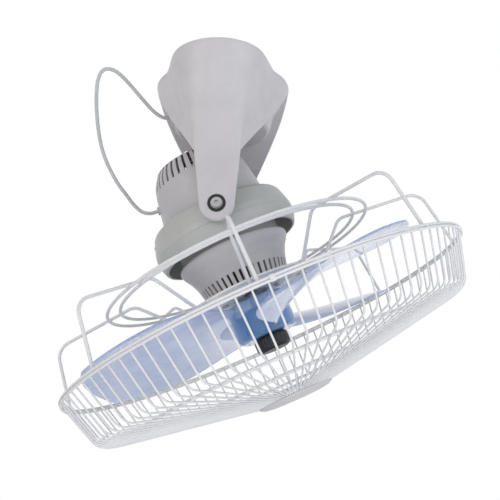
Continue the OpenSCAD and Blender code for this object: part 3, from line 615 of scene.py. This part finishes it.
def web_outline(along):
    """Upper edge of a web: a shallow dip from the arm's foot to the bell's rim, then the rim."""
    tangent = math.asin((BELL_RADIUS - FOOT_RADIUS) / FOOT_OUT)
    if along > RIM_FROM:
        return on_circle(BELL_RADIUS, tangent * (1 - along) / (1 - RIM_FROM))
    foot = on_circle(FOOT_RADIUS, tangent) + Vector((0, FOOT_OUT, -FOOT_DROP))
    share = along / RIM_FROM
    dip = WEB_DIP * share * math.sin(math.pi * share)
    return foot.lerp(on_circle(BELL_RADIUS, tangent), share) - WEB_OUTWARD * dip


def web_skin(along, down):
    """Outer skin of a web from its upper edge (down 0) to the arm's corner (down 1)."""
    bulge = (1 - down) ** 2 * down * 27 / 4  # reaches 1 at a third of the way down
    swell = WEB_SWELL * along ** 2 * bulge
    return web_outline(along).lerp(ARM_CORNER, down) + Vector((swell, 0, 0))


def web_inner(along, down):
    """Inner skin of a web, which thins out towards the arm's corner."""
    left, right = max(0, along - SLOPE_STEP), min(1, along + SLOPE_STEP)
    upper, lower = max(0, down - SLOPE_STEP), min(1, down + SLOPE_STEP)
    across = web_skin(right, down) - web_skin(left, down)
    run = web_skin(along, upper) - web_skin(along, lower)
    inward = across.cross(run).normalized()
    if inward.x > 0:
        inward.negate()
    thinning = min(1, CORNER_SHARE + THINNING * (1 - down))
    return web_skin(along, down) + inward * WEB_THICKNESS * thinning


def web_plate(side, along, share):
    """A point on the outer (side 0) or inner skin of a web, whose top row lies at the ceiling."""
    row = round(share * (WEB_STEPS + 1)) - 1
    skin = (web_skin, web_inner)[side]
    point = skin(along, WEB_REACH * max(0, row) / WEB_STEPS)
    point.z = 0 if row < 0 else min(point.z, 0)
    return point


def bell_reach(z):
    """The bell's radius just inside its wall, at the height z."""
    for (r0, z0), (r1, z1) in zip(BELL_OUTLINE, BELL_OUTLINE[1:]):
        if z >= z1:
            return r0 + (r1 - r0) * (z - z0) / (z1 - z0) - BELL_WALL
    return 0


def lining_plate(side, across, share):
    """A point of the flat lining from the bell's wall, or the arm's middle, to a web's edge."""
    edge = web_skin(1, LINING_FROM + (LINING_TO - LINING_FROM) * share)
    inside = math.sqrt(max(0, bell_reach(edge.z) ** 2 - edge.y ** 2))
    point = Vector((inside + (edge.x - LINING_INSET - inside) * across, edge.y, edge.z))
    point += LINING_BACK * LINING_THICKNESS * side
    point.z = min(point.z, 0)
    return point


def add_plate(mesh, columns, rows, point_at):
    """A closed plate: point_at gives its points for a side, 0 or 1, and a share each way."""
    for side in (0, 1):
        grid = bmesh.ops.create_grid(mesh, x_segments=columns, y_segments=rows, size=0.5)["verts"]
        for vert in grid:
            column, row = round((vert.co.x + 0.5) * columns), round((vert.co.y + 0.5) * rows)
            vert.co = point_at(side, column / columns, row / rows) * MM
    bmesh.ops.bridge_loops(mesh, edges=[edge for edge in mesh.edges if edge.is_boundary])


def make_webs():
    """Curved webs that carry the arms' sides over into the bell's rim, and their lining."""
    mesh = bmesh.new()
    add_plate(mesh, WEB_STEPS, WEB_STEPS + 1, web_plate)
    add_plate(mesh, LINING_STEPS, WEB_STEPS, lining_plate)
    for axis in ("X", "Y"):
        bmesh.ops.mirror(mesh, geom=mesh.verts[:] + mesh.edges[:] + mesh.faces[:], axis=axis)
    bmesh.ops.remove_doubles(mesh, verts=mesh.verts, dist=0.01 * MM)
    bmesh.ops.recalc_face_normals(mesh, faces=mesh.faces)
    webs = finish_mesh("yoke_webs", mesh, finishes["white_plastic"], bevel=0.8)
    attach(webs, "mount")


# ---- rim clips -----------------------------------------------------------------
RIM_RADIUS = 227.44  # centre line of the two rim wires
WIRE_STEP = 1.45  # each rim wire lies this far above or below the rim's middle
SLEEVE_RADIUS = 1.75
SLEEVE_LENGTH = 4.8
SLEEVES = 4
SLEEVE_START = 2  # degrees round the shaft


def make_rim_clips():
    """Four crimped sleeves that hold the two rim wires together."""
    mesh = bmesh.new()
    for k in range(SLEEVES):
        sleeve = bmesh.ops.create_cone(
            mesh, cap_ends=True, segments=24, radius1=SLEEVE_RADIUS, radius2=SLEEVE_RADIUS,
            depth=SLEEVE_LENGTH,
        )["verts"]
        for vert in sleeve:
            vert.co.y += WIRE_STEP if round(vert.co.y, 3) >= 0 else -WIRE_STEP
        lay_down = Matrix.Rotation(math.radians(90), 4, "X")
        to_rim = Matrix.Translation((RIM_RADIUS, 0, RIM_Z)) @ lay_down
        turn = Matrix.Rotation(math.radians(SLEEVE_START + 360 / SLEEVES * k), 4, "Z")
        matrix = HEAD @ Matrix.Scale(MM, 4) @ turn @ to_rim
        bmesh.ops.transform(mesh, verts=sleeve, matrix=matrix)
    bmesh.ops.recalc_face_normals(mesh, faces=mesh.faces)
    clips = finish_mesh("rim_sleeves", mesh, finishes["white_wire"], bevel=0.3)
    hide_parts("rim_clips")
    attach(clips, "head")


# ---- world, floor and lamps ----------------------------------------------------
DAYLIGHT = (0.94, 0.96, 1.0)
DAYLIGHT_STRENGTH = 0.54
WHITE = (1.0, 1.0, 1.0)
FLOOR_COLOUR = (0.9, 0.9, 0.9)
FLOOR_GLOW = 0.6  # share of white that the camera sees on the floor
FLOOR_BELOW = 1.35
FLOOR_REACH = 6
# Each lamp's name, place, diameter, watts and colour. All of them point at the gimbal centre.
LAMPS = (
    ("key", (-1.3, -1.5, 0.3), 1.2, 10, (1.0, 0.93, 0.915)),
    ("fill", (1.6, -1.0, 0.1), 1.4, 8, (0.84, 0.91, 1.0)),
    ("under", (0.5, -1.0, -1.3), 1.3, 9, (0.97, 0.985, 1.0)),
)


def make_world():
    """Even daylight, and white where the camera, gloss or glass looks past the fan."""
    world = bpy.data.worlds.new("studio")
    bpy.context.scene.world = world
    world.use_nodes = True
    sky = Nodes(world.node_tree)
    plain = sky.tree.nodes["Background"]
    plain.inputs["Color"].default_value = paint(DAYLIGHT)
    plain.inputs["Strength"].default_value = DAYLIGHT_STRENGTH
    seen = sky.node("ShaderNodeLightPath", output="Is Camera Ray")
    for ray in ("Is Glossy Ray", "Is Transmission Ray"):
        also = sky.node("ShaderNodeLightPath", output=ray)
        seen = sky.node("ShaderNodeMath", {"operation": "MAXIMUM"}, {0: seen, 1: also})
    white = sky.node("ShaderNodeBackground", None, {"Color": paint(WHITE), "Strength": 1.0})
    shown = sky.node(
        "ShaderNodeMixShader", None, {0: seen, 1: Value(sky, plain.outputs[0]), 2: white}
    )
    sky.show("World Output", shown)


def make_floor():
    """A pale floor far below the fan; it looks nearly white and still takes a shadow."""
    pale = Finish("pale_floor", Roughness=0.9, Base_Color=paint(FLOOR_COLOUR))
    seen = pale.node("ShaderNodeLightPath", output="Is Camera Ray")
    glow = pale.node("ShaderNodeEmission")
    plain = Value(pale, pale.shader.outputs[0])
    shown = pale.node("ShaderNodeMixShader", None, {0: seen * FLOOR_GLOW, 1: plain, 2: glow})
    pale.show("Material Output", shown)
    mesh = bmesh.new()
    bmesh.ops.create_grid(mesh, x_segments=1, y_segments=1, size=FLOOR_REACH)
    bmesh.ops.translate(mesh, verts=mesh.verts, vec=(0, 0, cad_box[0][2] - FLOOR_BELOW))
    data = bpy.data.meshes.new("floor")
    mesh.to_mesh(data)
    mesh.free()
    data.materials.append(pale.material)
    place_mesh("floor", data)


def make_lamp(name, place, diameter, watts, colour):
    """A round soft lamp that points at the gimbal centre."""
    light = bpy.data.lights.new(name, "AREA")
    light.shape = "DISK"
    light.size = diameter
    light.energy = watts
    light.color = colour
    lamp = bpy.data.objects.new(name, light)
    bpy.context.scene.collection.objects.link(lamp)
    lamp.location = place
    lamp.rotation_euler = (gimbal - Vector(place)).to_track_quat("-Z", "Y").to_euler()


make_camera()
make_cord("cord_supply", "cord_upper", UPPER_ROUTE)
make_cord("cord_head", "cord_lower", LOWER_ROUTE)
make_blades()
make_hub_core()
make_webs()
make_rim_clips()
make_world()
make_floor()
for lamp in LAMPS:
    make_lamp(*lamp)
dress_nodes()
bpy.context.scene.view_settings.view_transform = "Standard"
